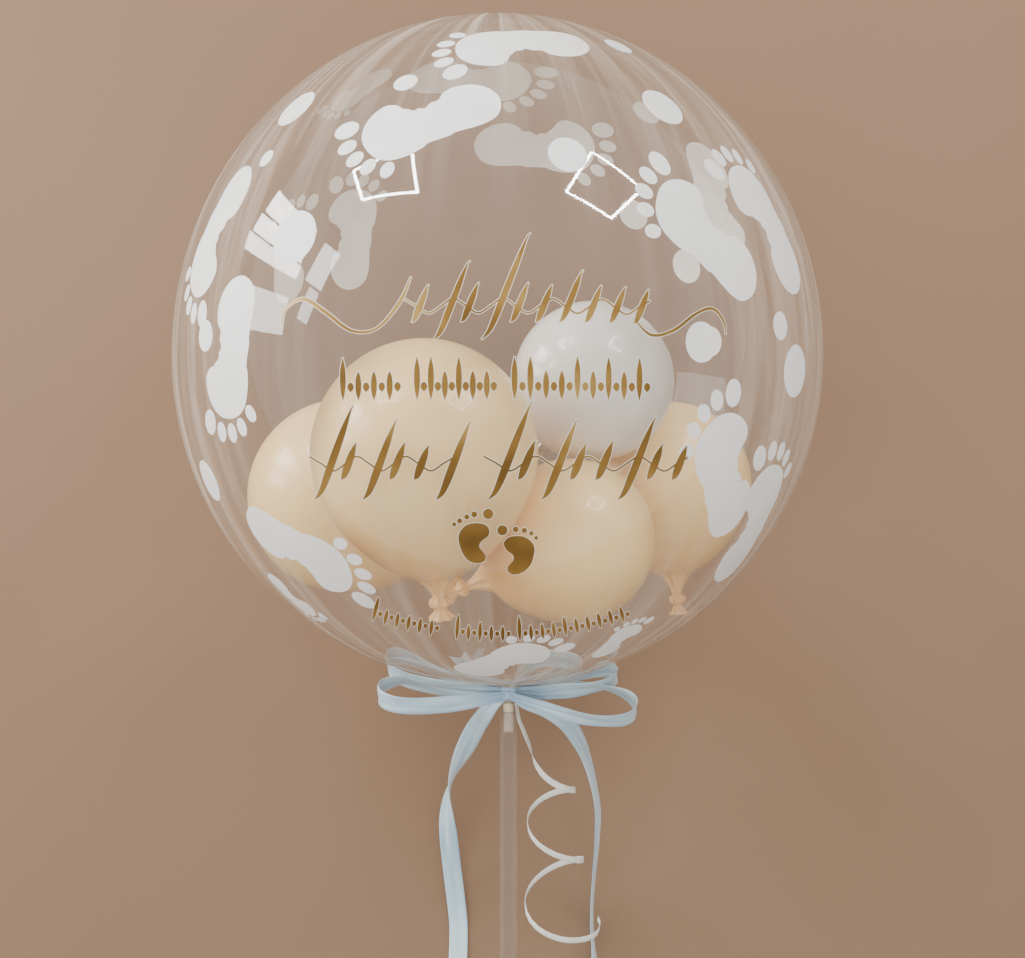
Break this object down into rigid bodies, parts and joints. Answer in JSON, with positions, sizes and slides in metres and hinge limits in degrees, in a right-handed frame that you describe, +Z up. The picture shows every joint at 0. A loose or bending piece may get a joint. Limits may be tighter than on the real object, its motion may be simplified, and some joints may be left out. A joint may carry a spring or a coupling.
{
  "type": "party balloon on a stick",
  "caption": "Clear stretch-film party balloon with small balloons sealed inside, on a clear tube stick, tied with a satin bow and a curled ribbon, lying down.",
  "frame": {"origin": "centre of the small flat spot that the bubble rests on", "axes": "+Z up from the floor, +Y from the lower end of the stick towards the bubble's top, +X to the right of someone who reads the print"},
  "size_m": [0.4998, 1.1964, 0.4978],
  "materials": {
    "clear_film": "clear glossy stretch film",
    "clear_tube": "clear glossy tube",
    "elastic": "pale translucent elastic",
    "satin": "pale blue satin ribbon",
    "curling": "cream-white curling ribbon with a soft sheen",
    "latex_cream": "cream latex, softly glossy",
    "latex_pearl": "pearl white latex, softly glossy",
    "white_print": "white print on the film",
    "gold_print": "satin gold print"
  },
  "bodies": {
    "root": {"clear_bubble": "clear_film", "neck_band": "elastic", "balloon_stick": "clear_tube", "ribbon_bow": "satin", "ribbon_tail_left": "satin", "ribbon_tail_right": "satin", "curling_ribbon": "curling"}
  },
  "joints": []
}
